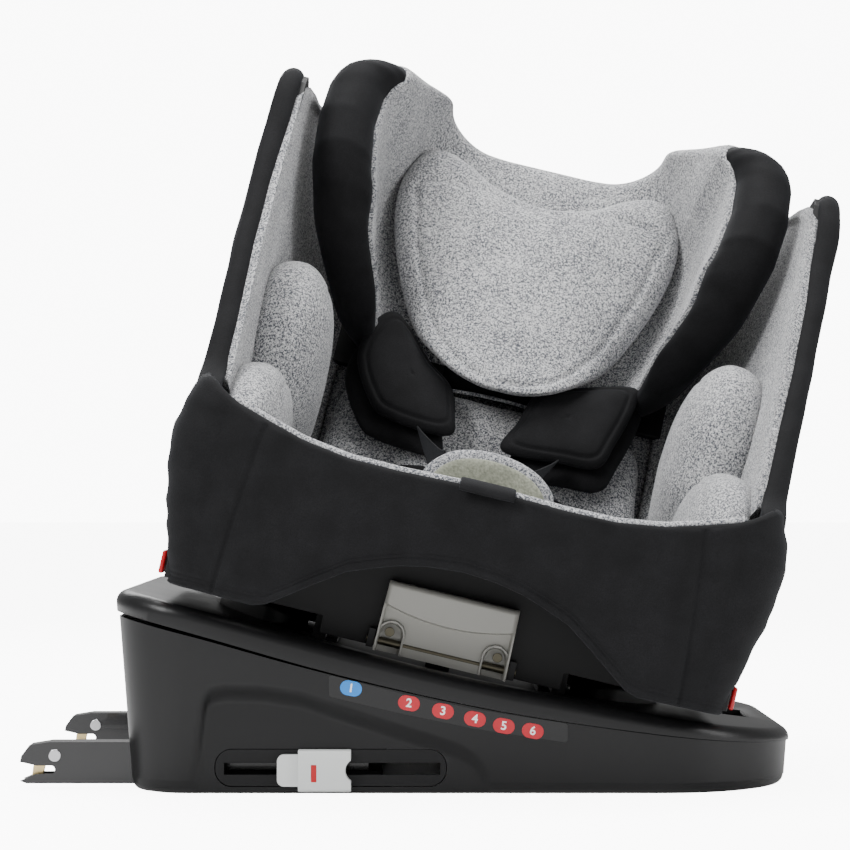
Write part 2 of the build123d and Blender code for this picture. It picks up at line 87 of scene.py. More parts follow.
def studio():
    """White sweep, soft surroundings and four large lamps."""
    mesh = bpy.data.meshes.new("floor")
    bm = bmesh.new()
    bmesh.ops.create_grid(bm, x_segments=1, y_segments=1, size=14)
    bm.to_mesh(mesh)
    bm.free()
    floor = bpy.data.objects.new("floor", mesh)
    bpy.context.collection.objects.link(floor)
    floor.data.materials.append(paper())
    world = bpy.data.worlds.new("studio")
    world.use_nodes = True
    tree = world.node_tree
    soft = tree.nodes["Background"]
    soft.inputs["Strength"].default_value = 0.42
    sweep = add(tree, "ShaderNodeBackground", {"Strength": 10.0})
    seen = add(tree, "ShaderNodeLightPath").outputs["Is Camera Ray"]
    both = add(tree, "ShaderNodeMixShader", {0: seen, 1: soft.outputs[0], 2: sweep.outputs[0]})
    tree.links.new(both.outputs[0], tree.nodes["World Output"].inputs["Surface"])
    soft.inputs["Color"].default_value = sweep.inputs["Color"].default_value = (1, 1, 1, 1)
    bpy.context.scene.world = world
    lamp("key", (-1.5, -1.7, 1.9), (0, 0, 0.3), (0.8, 1.2), 62)
    lamp("fill", (2.0, -1.4, 0.9), (0, 0, 0.25), (0.7, 1.5), 26)
    lamp("top", (0.1, 0.1, 2.2), (0, 0, 0.2), (1.5, 1.2), 60)
    lamp("rim", (-0.5, 1.9, 1.5), (0, 0, 0.4), (1.6, 0.8), 30)


def paper():
    """The sweep's white floor, lit so that only the soft shadow under the seat shows."""
    material = plain("floor_paper", (0.92, 0.92, 0.92), 0.8)
    tree = material.node_tree
    shader = tree.nodes["Principled BSDF"]
    shader.inputs["Emission Color"].default_value = (1, 1, 1, 1)
    seen = add(tree, "ShaderNodeLightPath").outputs["Is Camera Ray"]
    glow = add(tree, "ShaderNodeMath", {0: seen, 1: 8.4}, operation="MULTIPLY")
    tree.links.new(glow.outputs[0], shader.inputs["Emission Strength"])
    return material


# ---------------------------------------------------------------- materials
def new_group(name, inputs, outputs):
    tree = bpy.data.node_groups.new(name, "ShaderNodeTree")
    for label, kind, value in inputs:
        socket = tree.interface.new_socket(label, in_out="INPUT", socket_type=kind)
        if value is not None:
            socket.default_value = value
    for label, kind in outputs:
        tree.interface.new_socket(label, in_out="OUTPUT", socket_type=kind)
    return tree, tree.nodes.new("NodeGroupInput"), tree.nodes.new("NodeGroupOutput")


def add(tree, kind, links=None, **settings):
    """A node with its settings; `links` joins sockets of earlier nodes to its inputs."""
    node = tree.nodes.new(kind)
    for key, value in settings.items():
        setattr(node, key, value)
    for key, source in (links or {}).items():
        if hasattr(source, "is_output"):
            tree.links.new(source, node.inputs[key])
        else:
            node.inputs[key].default_value = source
    return node


def knit_group():
    """Fine knit: a mask of single stitches, a slow mottling, and their height."""
    tree, ins, outs = new_group(
        "fine_knit",
        [("Stitch", "NodeSocketFloat", 900.0), ("Mottle", "NodeSocketFloat", 60.0)],
        [("Stitches", "NodeSocketFloat"), ("Mottling", "NodeSocketFloat"), ("Height", "NodeSocketFloat")],
    )
    place = add(tree, "ShaderNodeTexCoord").outputs["Object"]
    cells = add(tree, "ShaderNodeTexVoronoi", {"Vector": place, "Scale": ins.outputs["Stitch"]})
    grain = add(tree, "ShaderNodeTexNoise", {"Vector": place, "Scale": ins.outputs["Stitch"], "Detail": 2.0})
    slow = add(tree, "ShaderNodeTexNoise", {"Vector": place, "Scale": ins.outputs["Mottle"], "Detail": 3.0})
    height = add(tree, "ShaderNodeMath", {0: cells.outputs["Distance"], 1: grain.outputs["Fac"]},
                 operation="ADD")
    tree.links.new(grain.outputs["Fac"], outs.inputs["Stitches"])
    tree.links.new(slow.outputs["Fac"], outs.inputs["Mottling"])
    tree.links.new(height.outputs[0], outs.inputs["Height"])
    return tree


def melange_group():
    """Two yarns spun together: how much of the dark yarn shows, at two scales of fleck."""
    tree, ins, outs = new_group(
        "melange_yarn",
        [("Fleck", "NodeSocketFloat", 520.0), ("Dark Share", "NodeSocketFloat", 0.45)],
        [("Dark", "NodeSocketFloat"), ("Height", "NodeSocketFloat")],
    )
    place = add(tree, "ShaderNodeTexCoord").outputs["Object"]
    fine = add(tree, "ShaderNodeTexNoise", {"Vector": place, "Scale": ins.outputs["Fleck"], "Detail": 2.5,
                                            "Roughness": 0.65})
    half = add(tree, "ShaderNodeMath", {0: ins.outputs["Fleck"], 1: 0.55}, operation="MULTIPLY")
    broad = add(tree, "ShaderNodeTexNoise", {"Vector": place, "Scale": half.outputs[0], "Detail": 2.0,
                                             "Roughness": 0.6})
    slow = add(tree, "ShaderNodeTexNoise", {"Vector": place, "Scale": 28.0, "Detail": 2.0})
    both = add(tree, "ShaderNodeMath", {0: fine.outputs["Fac"], 1: broad.outputs["Fac"]}, operation="ADD")
    some = add(tree, "ShaderNodeMath", {0: slow.outputs["Fac"], 1: 0.12, 2: both.outputs[0]},
               operation="MULTIPLY_ADD")
    low = add(tree, "ShaderNodeMath", {0: ins.outputs["Dark Share"], 1: 0.76}, operation="ADD")
    high = add(tree, "ShaderNodeMath", {0: low.outputs[0], 1: 0.26}, operation="SUBTRACT")
    mask = add(tree, "ShaderNodeMapRange", {"Value": some.outputs[0], "From Min": low.outputs[0],
                                            "From Max": high.outputs[0]})
    tree.links.new(mask.outputs["Result"], outs.inputs["Dark"])
    tree.links.new(both.outputs[0], outs.inputs["Height"])
    return tree


def grain_group():
    """Moulded plastic: a fine pebble grain and slow changes of gloss."""
    tree, ins, outs = new_group(
        "moulded_grain",
        [("Grain", "NodeSocketFloat", 1400.0), ("Gloss", "NodeSocketFloat", 0.4),
         ("Spread", "NodeSocketFloat", 0.12)],
        [("Roughness", "NodeSocketFloat"), ("Height", "NodeSocketFloat"), ("Convex Edges", "NodeSocketFloat")],
    )
    place = add(tree, "ShaderNodeTexCoord").outputs["Object"]
    pebble = add(tree, "ShaderNodeTexVoronoi", {"Vector": place, "Scale": ins.outputs["Grain"]})
    slow = add(tree, "ShaderNodeTexNoise", {"Vector": place, "Scale": 9.0, "Detail": 4.0})
    edges = add(tree, "ShaderNodeNewGeometry")
    # share of sharp convex edge, read from Pointiness; the plastic's colour is lightened there
    convex_edges = add(tree, "ShaderNodeMapRange", {"Value": edges.outputs["Pointiness"], "From Min": 0.53,
                                            "From Max": 0.62})
    off = add(tree, "ShaderNodeMath", {0: slow.outputs["Fac"], 1: 0.5}, operation="SUBTRACT")
    rough = add(tree, "ShaderNodeMath", {0: off.outputs[0], 1: ins.outputs["Spread"],
                                         2: ins.outputs["Gloss"]}, operation="MULTIPLY_ADD")
    tree.links.new(rough.outputs[0], outs.inputs["Roughness"])
    tree.links.new(pebble.outputs["Distance"], outs.inputs["Height"])
    tree.links.new(convex_edges.outputs["Result"], outs.inputs["Convex Edges"])
    return tree


def base_material(name):
    material = bpy.data.materials.new(name)
    material.use_nodes = True
    tree = material.node_tree
    return material, tree, tree.nodes["Principled BSDF"]


def plain(name, colour, rough):
    material, tree, shader = base_material(name)
    shader.inputs["Base Color"].default_value = (*colour, 1)
    shader.inputs["Roughness"].default_value = rough
    return material


def plastic(name, colour, gloss=0.4, grain=1400.0, depth=0.00003, spread=0.12, coat=0.0, shine=0.5):
    """Moulded plastic: pebble height `depth` in metres, and a little lighter along sharp convex edges."""
    material, tree, shader = base_material(name)
    group = add(tree, "ShaderNodeGroup", node_tree=GRAIN)
    group.inputs["Grain"].default_value = grain
    group.inputs["Gloss"].default_value = gloss
    group.inputs["Spread"].default_value = spread
    # a lighter colour laid on sharp convex edges
    edge = tuple(min(1, c * 1.3 + 0.003) for c in colour)
    paint = add(tree, "ShaderNodeMix", {"Factor": group.outputs["Convex Edges"]}, data_type="RGBA")
    paint.inputs["A"].default_value = (*colour, 1)
    paint.inputs["B"].default_value = (*edge, 1)
    bump = add(tree, "ShaderNodeBump", {"Height": group.outputs["Height"], "Strength": 0.35,
                                        "Distance": depth})
    tree.links.new(paint.outputs["Result"], shader.inputs["Base Color"])
    tree.links.new(group.outputs["Roughness"], shader.inputs["Roughness"])
    tree.links.new(bump.outputs["Normal"], shader.inputs["Normal"])
    shader.inputs["Coat Weight"].default_value = coat
    shader.inputs["Specular IOR Level"].default_value = shine
    return material


def metal(name, colour, gloss=0.3):
    """Bare or plated metal with a faint drawn grain."""
    material = plastic(name, colour, gloss, grain=500.0, depth=0.00001, spread=0.2)
    material.node_tree.nodes["Principled BSDF"].inputs["Metallic"].default_value = 1.0
    return material


def knit(name, colour, high, sheen=0.04, stitch=1100.0, depth=0.0002):
    material, tree, shader = base_material(name)
    group = add(tree, "ShaderNodeGroup", node_tree=KNIT)
    group.inputs["Stitch"].default_value = stitch
    group.inputs["Mottle"].default_value = 45.0
    share = add(tree, "ShaderNodeMath", {0: group.outputs["Stitches"], 1: group.outputs["Mottling"]},
                operation="MULTIPLY")
    mask = add(tree, "ShaderNodeMapRange", {"Value": share.outputs[0], "From Min": 0.12, "From Max": 0.42})
    yarn = add(tree, "ShaderNodeMix", {"Factor": mask.outputs["Result"]}, data_type="RGBA")
    yarn.inputs["A"].default_value = (*colour, 1)
    yarn.inputs["B"].default_value = (*high, 1)
    bump = add(tree, "ShaderNodeBump", {"Height": group.outputs["Height"], "Strength": 0.5,
                                        "Distance": depth})
    tree.links.new(yarn.outputs["Result"], shader.inputs["Base Color"])
    tree.links.new(bump.outputs["Normal"], shader.inputs["Normal"])
    shader.inputs["Roughness"].default_value = 0.8
    shader.inputs["Specular IOR Level"].default_value = 0.17
    shader.inputs["Sheen Weight"].default_value = sheen
    shader.inputs["Sheen Roughness"].default_value = 0.45
    shader.inputs["Sheen Tint"].default_value = (0.8, 0.85, 0.95, 1)
    return material


def melange(name, light, dark, share=0.45, fleck=520.0, depth=0.0004):
    material, tree, shader = base_material(name)
    group = add(tree, "ShaderNodeGroup", node_tree=MELANGE)
    group.inputs["Fleck"].default_value = fleck
    group.inputs["Dark Share"].default_value = share
    yarn = add(tree, "ShaderNodeMix", {"Factor": group.outputs["Dark"]}, data_type="RGBA")
    yarn.inputs["A"].default_value = (*light, 1)
    yarn.inputs["B"].default_value = (*dark, 1)
    bump = add(tree, "ShaderNodeBump", {"Height": group.outputs["Height"], "Strength": 0.5,
                                        "Distance": depth})
    tree.links.new(yarn.outputs["Result"], shader.inputs["Base Color"])
    tree.links.new(bump.outputs["Normal"], shader.inputs["Normal"])
    shader.inputs["Roughness"].default_value = 0.9
    shader.inputs["Sheen Weight"].default_value = 0.2
    shader.inputs["Sheen Roughness"].default_value = 0.5
    return material


KNIT, MELANGE, GRAIN = knit_group(), melange_group(), grain_group()
BASE_SHELL = plastic("base_shell", (0.0055, 0.0055, 0.006), 0.36, 1500.0, 0.00004, shine=0.34)
DARK = plastic("dark_plastic", (0.005, 0.005, 0.0055), 0.5, shine=0.3)
STRIP = plastic("strip_film", (0.002, 0.002, 0.0025), 0.14, 300.0, 0.0, shine=0.4)
BLUE = plastic("blue_label", (0.01, 0.24, 0.72), 0.35, 300.0, 0.0)
RED = plastic("red_label", (0.50, 0.008, 0.02), 0.35, 300.0, 0.0)
FIGURE = plastic("label_white", (0.9, 0.9, 0.9), 0.4, 300.0, 0.0)
RUBBER = plastic("mat_rubber", (0.02, 0.02, 0.02), 0.8, 400.0, 0.0002)
ARM_STEEL = plastic("arm_steel", (0.012, 0.012, 0.013), 0.22, 600.0, 0.00001, coat=0.3)
STEEL = metal("bright_steel", (0.62, 0.62, 0.64), 0.28)
GOLD = metal("gold_zinc", (0.78, 0.62, 0.32), 0.3)
LIGHT = plastic("light_plastic", (0.68, 0.70, 0.69), 0.42, 1500.0, 0.00003)
RED_PLASTIC = plastic("red_plastic", (0.42, 0.006, 0.01), 0.3, 900.0, 0.00001)
HANDLE = plastic("handle_plastic", (0.37, 0.365, 0.335), 0.40, 1500.0, 0.00005)
SCREW = metal("screw_zinc", (0.12, 0.11, 0.08), 0.45)
BLACK_KNIT = knit("black_knit", (0.0035, 0.0035, 0.004), (0.0085, 0.0085, 0.0095))
GREY = melange("grey_melange", (0.60, 0.60, 0.60), (0.055, 0.060, 0.075), share=0.44, fleck=1150.0)
# painted shade: a copy of the grey melange with both yarns dimmed, for the pads that sit deep in the seat
GREY_SHADED = melange("grey_melange_shaded", (0.48, 0.48, 0.485), (0.045, 0.050, 0.064), share=0.44,
                    fleck=1150.0)
LINING = knit("mesh_lining", (0.18, 0.19, 0.145), (0.34, 0.35, 0.28), stitch=520.0, depth=0.0006)
WEB = knit("webbing", (0.004, 0.004, 0.004), (0.011, 0.011, 0.012), stitch=700.0, depth=0.0004)


# ---------------------------------------------------------------- making pieces
def keep(name, bm, place, body, materials, smooth=True, sharp=None):
    """Turns a finished bmesh into a piece that rides on a body."""
    bmesh.ops.transform(bm, matrix=place, verts=bm.verts)
    bmesh.ops.recalc_face_normals(bm, faces=bm.faces)
    mesh = bpy.data.meshes.new(name)
    bm.to_mesh(mesh)
    bm.free()
    mesh.polygons.foreach_set("use_smooth", [smooth] * len(mesh.polygons))
    if sharp is not None:
        mesh.set_sharp_from_angle(angle=radians(sharp))
    for material in materials if isinstance(materials, (list, tuple)) else [materials]:
        mesh.materials.append(material)
    piece = bpy.data.objects.new(name, mesh)
    bpy.context.collection.objects.link(piece)
    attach(piece, body)
    return piece


def skin(around, along, shape):
    """A bmesh surface: shape(s, t) places each point, s running round and t along, both from 0 to 1."""
    bm = bmesh.new()
    bmesh.ops.create_grid(bm, x_segments=around, y_segments=along, size=1)
    for vert in bm.verts:
        vert.co = Vector(shape((vert.co.x + 1) / 2, (vert.co.y + 1) / 2))
    bmesh.ops.remove_doubles(bm, verts=bm.verts, dist=1e-6)
    return bm


def lerp(a, b, k):
    return a + (b - a) * k


def ease(k):
    k = min(1, max(0, k))
    return k * k * (3 - 2 * k)


def crease(away, width):
    """How hard a stitched line pulls: 1 on the line, fading within a few widths of it."""
    return exp(-(away / width) ** 2)


def read(table, x):
    """The value at x of a table of (x, value) pairs joined by straight lines."""
    if x <= table[0][0]:
        return table[0][1]
    for (x0, v0), (x1, v1) in zip(table, table[1:]):
        if x <= x1:
            return lerp(v0, v1, (x - x0) / (x1 - x0))
    return table[-1][1]


def flow(points, k, closed=False):
    """A point on the smooth curve through the points, k from 0 to 1."""
    count = len(points)
    spans = count if closed else count - 1
    place = min(max(k, 0), 1) * spans
    i = min(int(place), spans - 1)
    f = place - i
    near = [j % count if closed else min(max(j, 0), count - 1) for j in range(i - 1, i + 3)]
    a, b, c, d = (Vector(points[j]) for j in near)
    square, cube = 2 * a - 5 * b + 4 * c - d, 3 * b - a - 3 * c + d
    return 0.5 * (2 * b + (c - a) * f + square * f * f + cube * f ** 3)


def even(points, closed=False, count=240):
    """The smooth curve through the points, as evenly spaced points."""
    raw = [flow(points, i / count, closed) for i in range(count + 1)]
    run = [0.0]
    for p, q in zip(raw, raw[1:]):
        run.append(run[-1] + (q - p).length)
    out, j = [], 0
    for i in range(count + 1):
        goal = run[-1] * i / count
        while j < count - 1 and run[j + 1] < goal:
            j += 1
        gap = run[j + 1] - run[j] or 1e-9
        out.append(raw[j].lerp(raw[j + 1], (goal - run[j]) / gap))
    return out


def on_line(line, k):
    place = min(max(k, 0), 1) * (len(line) - 1)
    i = min(int(place), len(line) - 2)
    return line[i].lerp(line[i + 1], place - i)


def pillow(outline, centre, back, front, fullness=3.2, back_fullness=8.0, around=120, rows=44,
           dents=None, lift=None, seam=None):
    """A stuffed pad: an outline of (x, z) in millimetres, domed from `back` to `front` along y.

    `dents(x, z)` gives how far a seam pulls the front in, and `lift(z)` brings the pad's back and
    edge forward. `seam` is the share of the way to the edge at which a stitched line runs round,
    with its depth.
    """
    line = even([Vector((x, 0, z)) for x, z in outline], closed=True, count=around)
    middle = Vector((centre[0], 0, centre[1]))
    mid = lerp(back, front, 0.42)

    def shape(s, t):
        k = min(1, sin(t * pi))
        spot = middle.lerp(on_line(line, s), k)
        push = lift(spot.z) if lift else 0
        rim = mid + push
        if t < 0.5:
            depth = rim + (back + push - rim) * (1 - k ** back_fullness) ** 0.5
        else:
            depth = rim + (front - rim) * (1 - k ** fullness) ** (1 / 1.9)
            pull = dents(spot.x, spot.z) if dents else 0
            if seam:
                away = (k - seam[0]) * (spot - middle).length / max(k, 0.1)
                pull += seam[1] * crease(away, 1.6)
            depth -= pull * (1 if front > back else -1)
        return Vector((spot.x, depth, spot.z)) / 1000

    return skin(around, rows, shape)


def ribbon(path, width, thick, side, around=16, along=60):
    """Webbing along a path of millimetre points; `side` is the direction across it."""
    line = even([Vector(p) for p in path], count=along)

    def shape(s, t):
        spot = on_line(line, t)
        ahead = (on_line(line, min(1, t + 0.01)) - on_line(line, max(0, t - 0.01))).normalized()
        across = Vector(side)
        across = (across - ahead * across.dot(ahead)).normalized()
        out = across.cross(ahead)
        a = s * 2 * pi
        ca, sa = cos(a), sin(a)
        x = width / 2 * (abs(ca) ** 0.25) * (1 if ca > 0 else -1)
        z = thick / 2 * (abs(sa) ** 0.5) * (1 if sa > 0 else -1)
        end = 1 if 0 < t < 1 else 0.001
        return (spot + across * x * end + out * z * end) / 1000

    return skin(around, along, shape)


def tube(path, radius, around=10, along=80, closed=False):
    """A round bead, such as piping or a stitched cord, along millimetre points."""
    line = even([Vector(p) for p in path], closed=closed, count=along)
    up = Vector((0.3, 0.4, 0.86))

    def shape(s, t):
        spot = on_line(line, t)
        ahead = (on_line(line, min(1, t + 0.01)) - on_line(line, max(0, t - 0.01))).normalized()
        across = ahead.cross(up).normalized()
        out = across.cross(ahead)
        r = radius if closed or 0 < t < 1 else 0.0005
        return (spot + (across * cos(s * 2 * pi) + out * sin(s * 2 * pi)) * r) / 1000

    return skin(around, along, shape)


def softened(node, width, material, body, segments=2, flat=True, sharp=30):
    """The CAD piece with its edges eased."""
    bm = bmesh.new()
    bm.from_mesh(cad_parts[node].data)
    bmesh.ops.remove_doubles(bm, verts=bm.verts, dist=2e-6)
    if flat:
        bmesh.ops.dissolve_limit(bm, angle_limit=radians(0.8), verts=bm.verts, edges=bm.edges)
    piece = keep(node + "_eased", bm, HERE, body, material, sharp=sharp)
    if width:
        bevel = piece.modifiers.new("eased_edges", "BEVEL")
        bevel.width = width / 1000
        bevel.segments = segments
        bevel.limit_method = "ANGLE"
        bevel.angle_limit = radians(28)
        bevel.use_clamp_overlap = True
        bevel.harden_normals = True
    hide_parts(node)
    return piece


def box_mesh(size, place, radius=0.0, segments=4, across=False):
    """A block in metres with rounded edges, or with only those that run across it rounded."""
    bm = bmesh.new()
    bmesh.ops.create_cube(bm, size=1)
    bmesh.ops.scale(bm, vec=size, verts=bm.verts)
    if radius:
        edges = [e for e in bm.edges if not across or abs(e.verts[0].co.y - e.verts[1].co.y) > 0.005]
        bmesh.ops.bevel(bm, geom=edges, offset=radius, segments=segments, profile=0.5,
                        affect="EDGES", material=-1)
    bmesh.ops.translate(bm, vec=place, verts=bm.verts)
    return bm


def cut_out(piece, bm):
    """Takes the shape of a bmesh out of a piece."""
    mesh = bpy.data.meshes.new("cutter")
    bmesh.ops.recalc_face_normals(bm, faces=bm.faces)
    bm.to_mesh(mesh)
    bm.free()
    tool = bpy.data.objects.new("cutter", mesh)
    bpy.context.collection.objects.link(tool)
    cut = piece.modifiers.new("opening", "BOOLEAN")
    cut.operation = "DIFFERENCE"
    cut.solver = "EXACT"
    cut.object = tool
    apply_modifiers(piece)
    bpy.data.objects.remove(tool)


def apply_modifiers(piece):
    deps = bpy.context.evaluated_depsgraph_get()
    mesh = bpy.data.meshes.new_from_object(piece.evaluated_get(deps))
    old = piece.data
    piece.modifiers.clear()
    piece.data = mesh
    bpy.data.meshes.remove(old)


# ---------------------------------------------------------------- the base
LEAN = 0.0787        # the base's walls lean out by this much for each unit of height
SEAM_LINE = [(-262, 134), (-195, 117), (-121, 95.5), (-48, 77), (25, 61.5), (98, 50), (171, 41), (262, 33)]
RECESS_TOP = [(-210, 60), (-200, 62), (-194, 73), (-186, 80), (-176, 82), (-150, 81.5), (-121, 77),
              (-48, 53), (-19, 44), (-4, 38.5), (6, 32), (13, 22), (17, 8), (19, -20)]


def around_base(s, grow):
    """Rounded-rectangle plan of the base in millimetres, starting at the middle of the near side."""
    x0, x1, y = -247 - grow, 242 + grow, 190 + grow
    r, n = 42 + grow, 96 + grow
    legs = [
        ((-2, -y), (x1 - n, -y), None), ((x1 - n, -y + n), n, -90), ((x1, -y + n), (x1, y - n), None),
        ((x1 - n, y - n), n, 0), ((x1 - n, y), (x0 + r, y), None), ((x0 + r, y - r), r, 90),
        ((x0, y - r), (x0, -y + r), None), ((x0 + r, -y + r), r, 180), ((x0 + r, -y), (-2, -y), None),
    ]
    size = [hypot(b[0] - a[0], b[1] - a[1]) if c is None else b * pi / 2 for a, b, c in legs]
    # shares are measured on the plan at the floor, so that the columns stay upright
    go = (s % 1.0) * sum(size)
    for (a, b, c), length in zip(legs, size):
        if go <= length or (a, b, c) is legs[-1]:
            k = min(1, go / length)
            if c is None:
                return lerp(a[0], b[0], k), lerp(a[1], b[1], k)
            turn = radians(c + 90 * k)
            return a[0] + b * cos(turn), a[1] + b * sin(turn)
        go -= length


def recess_depth(x, z):
    """Share, from 0 to 1, of the way from the wall to the recess's flat floor."""
    top = ease((read(RECESS_TOP, x) - z) / 15)
    rear = ease((x + 202 - 0.12 * z) / 7)
    return top * rear


def seam_height(x):
    return read(SEAM_CURVE, x)


SEAM_CURVE = [(p.x, p.z) for p in even([Vector((x, 0, z)) for x, z in SEAM_LINE], count=80)]


def base_shell():
    """The tub: leaning walls with a recess in each, a slot for each slider and a way for each arm."""
    wall, floor_r = 3.6, 7.0
    rows = 112

    def shape(s, t):
        row = round(t * rows)
        px, py = around_base(s, 0)
        if row <= 4:                                  # underside, from its middle outwards
            k = row / 4
            qx, qy = around_base(s, -floor_r)
            return Vector((qx * k, qy * k, 1.0)) / 1000
        if row <= 12:                                 # rounded foot
            a = (row - 4) / 8 * pi / 2
            qx, qy = around_base(s, -floor_r * (1 - sin(a)))
            z = 1.0 + floor_r * (1 - cos(a))
        elif row <= 84:                               # outer wall
            k = (row - 12) / 72
            z = lerp(8.0, seam_height(px) - 0.8, k)
            qx, qy = around_base(s, (z - 1) * LEAN)
        elif row <= 88:                               # lip under the seam
            k = (row - 84) / 4
            z = seam_height(px) - 0.8
            qx, qy = around_base(s, (z - 1) * LEAN - wall * k)
        elif row <= 106:                              # inner wall
            k = (row - 88) / 18
            z = lerp(seam_height(px) - 0.8, 4.6, k)
            qx, qy = around_base(s, (z - 1) * LEAN - wall)
        else:
            k = 1 - (row - 106) / 6
            qx, qy = around_base(s, -wall)
            return Vector((qx * k, qy * k, 4.6)) / 1000
        inner = row > 84
        flat = 187.0 - (wall if inner else 0)
        if abs(qy) > flat and (z > 8 or row <= 12):
            share = recess_depth(qx, z)
            qy += (flat - abs(qy)) * share * (1 if qy > 0 else -1)
        return Vector((qx, qy, z)) / 1000

    shell = keep("base_shell", skin(640, rows, shape), HERE, "base", BASE_SHELL, sharp=50)
    for side in (-1, 1):
        slot = box_mesh((0.170, 0.012, 0.028), (-0.099, side * 0.187, 0.0195), 0.0129, 10, across=True)
        arm_way = box_mesh((0.05, 0.030, 0.0356), (-0.24, side * 0.14, 0.0212))
        cut_out(shell, slot)
        cut_out(shell, arm_way)
    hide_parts("base_housing")


def base_details():
    """What the tub holds and carries: deck, tracks, guides, mat, frame, strip and labels."""
    softened("base_cover", 0, BASE_SHELL, "base", flat=False, sharp=40)
    for node, width, material in (
        ("slider_tracks", 0.4, DARK), ("latch_guides", 0.6, DARK), ("underside_mat", 0.3, RUBBER),
        ("base_frame", 0.8, STEEL), ("bearing_ring", 0.4, STEEL), ("indicator_strip", 0, STRIP),
        ("label_blue", 0.12, BLUE), ("labels_red", 0.12, RED),
    ):
        softened(node, width, material, "base")


def latch_arms():
    """Both steel arms with their hooks, rivets, release plates and sleeves."""
    for side in ("right", "left"):
        softened(f"latch_arm_{side}", 0.7, ARM_STEEL, f"latch_arm_{side}", 3)
        softened(f"latch_rivets_{side}", 0.6, STEEL, f"latch_arm_{side}", 3)
        softened(f"latch_hook_{side}", 0.8, GOLD, f"hook_{side}", 3)
        softened(f"release_plate_{side}", 0.8, LIGHT, f"latch_arm_{side}", 3)
        softened(f"release_sleeve_{side}", 0.9, LIGHT, f"sleeve_{side}", 3)
        softened(f"lock_window_{side}", 0.2, RED_PLASTIC, f"sleeve_{side}", 2)


def turntable():
    """The disc that turns in the deck, with the rails the seat reclines on."""
    for node, width, material in (
        ("turntable_disc", 0.8, DARK), ("spindle", 0.5, STEEL), ("recline_rails", 0.8, DARK),
        ("position_rack", 0.5, DARK),
    ):
        softened(node, width, material, "turntable")


# ---------------------------------------------------------------- the bucket and its covers
# the front cover's top and hem by the run from its middle, and how far it swells out by height
COVER_TOP = [(0, 136.5), (45, 135), (62, 134.5), (98, 135), (133, 140), (158, 147), (184, 155),
             (200, 162.5), (210, 167), (219, 169.5), (260, 173), (330, 178)]
COVER_LOW = [(0, 75), (25, 73), (45, 69), (60, 64), (81, 56), (100, 43), (122, 27), (132, 20),
             (142, 16.8), (400, 16.8)]
BULGE = [(11, -13), (20, -12), (32, -10), (56, -4), (88, 4), (98, 6), (117, 9), (130, 8.5), (150, 5),
         (168, -2), (180, -8)]


def cover_plan(run):
    """The front cover's place and outward direction, `run` millimetres round from its middle."""
    sign = 1 if run >= 0 else -1
    a = abs(run)
    if a < 190:
        x, y = a, -262 + 22 * (a / 190) ** 2.4
        slope = 22 * 2.4 * (a / 190) ** 1.4 / 190
        out = Vector((slope, -1, 0)).normalized()
    elif a < 240:
        k = (a - 190) / 50
        turn = lerp(atan2(0.278, 1.0), pi / 2, ease(k) * 0.5 + k * 0.5)
        x, y = 190 + 29 * sin(k * pi / 2), -240 + 31 * (1 - cos(k * pi / 2))
        out = Vector((sin(turn), -cos(turn), 0))
    else:
        x, y, out = 219, -209 + (a - 240), Vector((1, 0, 0))
    return Vector((x * sign, y, 0)), Vector((out.x * sign, out.y, 0))


def front_cover():
    """The black cover round the seat's front, arched over the handle, with two upright seams."""
    reach, rows, thick = 318.0, 132, 7.0
    seams = (-166.0, 166.0)

    def shape(s, t):
        row = round(s * rows) % rows
        run = lerp(-reach, reach, t)
        spot, out = cover_plan(run)
        top, low = read(COVER_TOP, abs(run)), read(COVER_LOW, abs(run))
        if row <= 78:                                  # outer face, hem to top, rows crowded at the hem
            k = (row / 78) ** 1.35
            z, deep = lerp(low + 2.5, top - 4, k), 0.0
        elif row <= 88:
            a = (row - 78) / 10 * pi
            z, deep = top - 4 + 4 * sin(a), thick / 2 * (1 - cos(a))
        elif row <= 122:
            k = (row - 88) / 34
            z, deep = lerp(top - 4, low + 2.5, k), thick
        else:
            a = (row - 122) / 10 * pi
            z, deep = low + 2.5 - 2.5 * sin(a), thick / 2 * (1 + cos(a))
        share = ease((abs(run) - 120) / 110)
        climb = min(1, max(0, (z - low) / max(1, top - low)))
        swell = read(BULGE, z) * share + 3.0 * (1 - share) * sin(pi * climb)
        puff = 0.0
        if row <= 78:
            for seam in seams:
                away = run - seam + (z - 90) * (0.10 if seam > 0 else -0.10)
                puff -= 1.5 * crease(away, 1.7)
                puff += 1.1 * crease(abs(away) - 9, 8)
            up = z - low
            puff -= 1.1 * crease(up - 6.0, 1.0)
            puff -= 0.9 * crease(up - 9.0, 0.9)
            ripple = noise.noise(Vector((run * 0.011, z * 0.05, 3.1)))
            puff += 1.6 * ripple * share + 0.5 * noise.noise(Vector((run * 0.03, z * 0.03, 7)))
            if abs(run) > 225:
                fold = noise.noise(Vector((run * 0.02, z * 0.085, 1.7)))
                puff += 3.2 * fold * ease((abs(run) - 225) / 30)
        if 0 < t < 1:
            point = spot + out * (swell + puff - deep)
        else:
            point = spot + out * (swell - thick / 2)
        point.z = z
        return point / 1000

    cover = keep("front_cover_knit", skin(rows, 520, shape), SEAT, "seat", BLACK_KNIT)
    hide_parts("front_cover")


# the side wall's outline, as y and z in the seat's frame
WING_EDGE = [
    (-226, 40), (-228, 110), (-226, 160), (-192, 178), (-158, 230), (-127, 278), (-98, 324), (-74, 366),
    (-55, 404), (-44, 419), (-28, 425), (60, 412), (172, 391), (238, 342), (246, 322), (226, 280),
    (160, 190), (112, 116),
    (84, 68), (72, 42), (20, 24), (-60, 22), (-180, 22), (-222, 24),
]
WING_SWELL = [(0, -14), (30, -12), (60, -6), (100, 0), (177, 2), (276, 7), (350, 9), (400, 9), (430, 7)]
